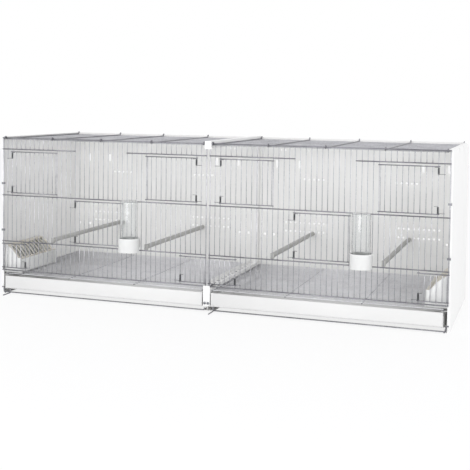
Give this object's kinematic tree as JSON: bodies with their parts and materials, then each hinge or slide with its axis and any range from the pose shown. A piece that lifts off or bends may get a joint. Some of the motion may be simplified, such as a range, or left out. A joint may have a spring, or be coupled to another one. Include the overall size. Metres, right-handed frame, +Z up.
{
  "type": "bird breeding cage",
  "caption": "Long double breeding cage for small birds: white sheet ends and back, wire front, roof and floor, hinged wire doors and pull-out trays.",
  "frame": {"origin": "centre of the base of the whole bounding box, on the surface the cage stands on", "axes": "+X along the length, -Y towards the front with the doors, +Z up"},
  "size_m": [1.2, 0.4714, 0.43],
  "materials": {
    "white_sheet": "powder-coated, smooth",
    "zinc_wire": "bright zinc plate",
    "spring_wire": "bright spring steel",
    "screw_steel": "zinc-plated",
    "white_plastic": "moulded, glossy",
    "comb_plastic": "moulded, satin",
    "perch_plastic": "moulded, ribbed, satin",
    "clear_plastic": "clear, polished"
  },
  "bodies": {
    "cage": {"left_side_panel": "white_sheet", "right_side_panel": "white_sheet", "back_panel_left": "white_sheet", "back_panel_right": "white_sheet", "rear_post": "white_sheet", "roof_crossbar": "white_sheet", "centre_rail": "white_sheet", "centre_plate": "white_sheet", "plate_bolts": "screw_steel", "front_clips": "screw_steel", "roof_grid_left": "zinc_wire", "roof_grid_right": "zinc_wire", "front_grid_left": "zinc_wire", "front_grid_right": "zinc_wire", "hinge_springs_left": "spring_wire", "hinge_springs_right": "spring_wire", "base_rod_front_left": "zinc_wire", "base_rod_front_right": "zinc_wire", "base_rod_rear_left": "zinc_wire", "base_rod_rear_right": "zinc_wire", "feeder_left": "white_plastic", "feeder_right": "white_plastic", "feeder_comb_left": "comb_plastic", "feeder_comb_right": "comb_plastic", "perch_1": "perch_plastic", "perch_2": "perch_plastic", "perch_3": "perch_plastic", "perch_4": "perch_plastic", "drinker_cup_left": "white_plastic", "drinker_cup_right": "white_plastic"},
    "nest_door_1": {"nest_door_1": "zinc_wire"},
    "nest_door_2": {"nest_door_2": "zinc_wire"},
    "centre_door_left": {"centre_door_left": "zinc_wire"},
    "feeder_door_1": {"feeder_door_1": "zinc_wire"},
    "feeder_door_2": {"feeder_door_2": "zinc_wire"},
    "nest_door_3": {"nest_door_3": "zinc_wire"},
    "nest_door_4": {"nest_door_4": "zinc_wire"},
    "centre_door_right": {"centre_door_right": "zinc_wire"},
    "feeder_door_3": {"feeder_door_3": "zinc_wire"},
    "feeder_door_4": {"feeder_door_4": "zinc_wire"},
    "tray_left": {"tray_left": "white_sheet"},
    "floor_grid_left": {"floor_grid_left": "zinc_wire"},
    "drinker_tube_left": {"drinker_tube_left": "clear_plastic"},
    "tray_right": {"tray_right": "white_sheet"},
    "floor_grid_right": {"floor_grid_right": "zinc_wire"},
    "drinker_tube_right": {"drinker_tube_right": "clear_plastic"}
  },
  "joints": [
    {"name": "nest_door_1_hinge", "type": "hinge", "parent": "cage", "child": "nest_door_1", "pos_m": [-0.56756, -0.17765, 0.331], "axis": [0, 0, -1], "range_deg": [0, 95], "stiffness_Nm_per_rad": 0.05, "springref_deg": -20.05},
    {"name": "nest_door_2_hinge", "type": "hinge", "parent": "cage", "child": "nest_door_2", "pos_m": [-0.03244, -0.17765, 0.331], "axis": [0, 0, 1], "range_deg": [0, 95], "stiffness_Nm_per_rad": 0.05, "springref_deg": -20.05},
    {"name": "centre_door_left_hinge", "type": "hinge", "parent": "cage", "child": "centre_door_left", "pos_m": [-0.37546, -0.17765, 0.20575], "axis": [0, 0, -1], "range_deg": [0, 95], "stiffness_Nm_per_rad": 0.05, "springref_deg": -20.05},
    {"name": "feeder_door_1_hinge", "type": "hinge", "parent": "cage", "child": "feeder_door_1", "pos_m": [-0.52639, -0.17765, 0.1035], "axis": [0, 0, 1], "range_deg": [0, 95], "stiffness_Nm_per_rad": 0.02, "springref_deg": -20.05},
    {"name": "feeder_door_2_hinge", "type": "hinge", "parent": "cage", "child": "feeder_door_2", "pos_m": [-0.07361, -0.17765, 0.1035], "axis": [0, 0, -1], "range_deg": [0, 95], "stiffness_Nm_per_rad": 0.02, "springref_deg": -20.05},
    {"name": "nest_door_3_hinge", "type": "hinge", "parent": "cage", "child": "nest_door_3", "pos_m": [0.03244, -0.17765, 0.331], "axis": [0, 0, -1], "range_deg": [0, 95], "stiffness_Nm_per_rad": 0.05, "springref_deg": -20.05},
    {"name": "nest_door_4_hinge", "type": "hinge", "parent": "cage", "child": "nest_door_4", "pos_m": [0.56756, -0.17765, 0.331], "axis": [0, 0, 1], "range_deg": [0, 95], "stiffness_Nm_per_rad": 0.05, "springref_deg": -20.05},
    {"name": "centre_door_right_hinge", "type": "hinge", "parent": "cage", "child": "centre_door_right", "pos_m": [0.22454, -0.17765, 0.20575], "axis": [0, 0, -1], "range_deg": [0, 95], "stiffness_Nm_per_rad": 0.05, "springref_deg": -20.05},
    {"name": "feeder_door_3_hinge", "type": "hinge", "parent": "cage", "child": "feeder_door_3", "pos_m": [0.07361, -0.17765, 0.1035], "axis": [0, 0, 1], "range_deg": [0, 95], "stiffness_Nm_per_rad": 0.02, "springref_deg": -20.05},
    {"name": "feeder_door_4_hinge", "type": "hinge", "parent": "cage", "child": "feeder_door_4", "pos_m": [0.52639, -0.17765, 0.1035], "axis": [0, 0, -1], "range_deg": [0, 95], "stiffness_Nm_per_rad": 0.02, "springref_deg": -20.05},
    {"name": "tray_left_slide", "type": "slide", "parent": "cage", "child": "tray_left", "axis": [0, -1, 0], "range_m": [0, 0.36]},
    {"name": "floor_grid_left_slide", "type": "slide", "parent": "cage", "child": "floor_grid_left", "axis": [0, -1, 0], "range_m": [0, 0.36]},
    {"name": "drinker_tube_left_lift", "type": "slide", "parent": "cage", "child": "drinker_tube_left", "axis": [0, 0, 1], "range_m": [0, 0.034]},
    {"name": "tray_right_slide", "type": "slide", "parent": "cage", "child": "tray_right", "axis": [0, -1, 0], "range_m": [0, 0.36]},
    {"name": "floor_grid_right_slide", "type": "slide", "parent": "cage", "child": "floor_grid_right", "axis": [0, -1, 0], "range_m": [0, 0.36]},
    {"name": "drinker_tube_right_lift", "type": "slide", "parent": "cage", "child": "drinker_tube_right", "axis": [0, 0, 1], "range_m": [0, 0.034]}
  ]
}
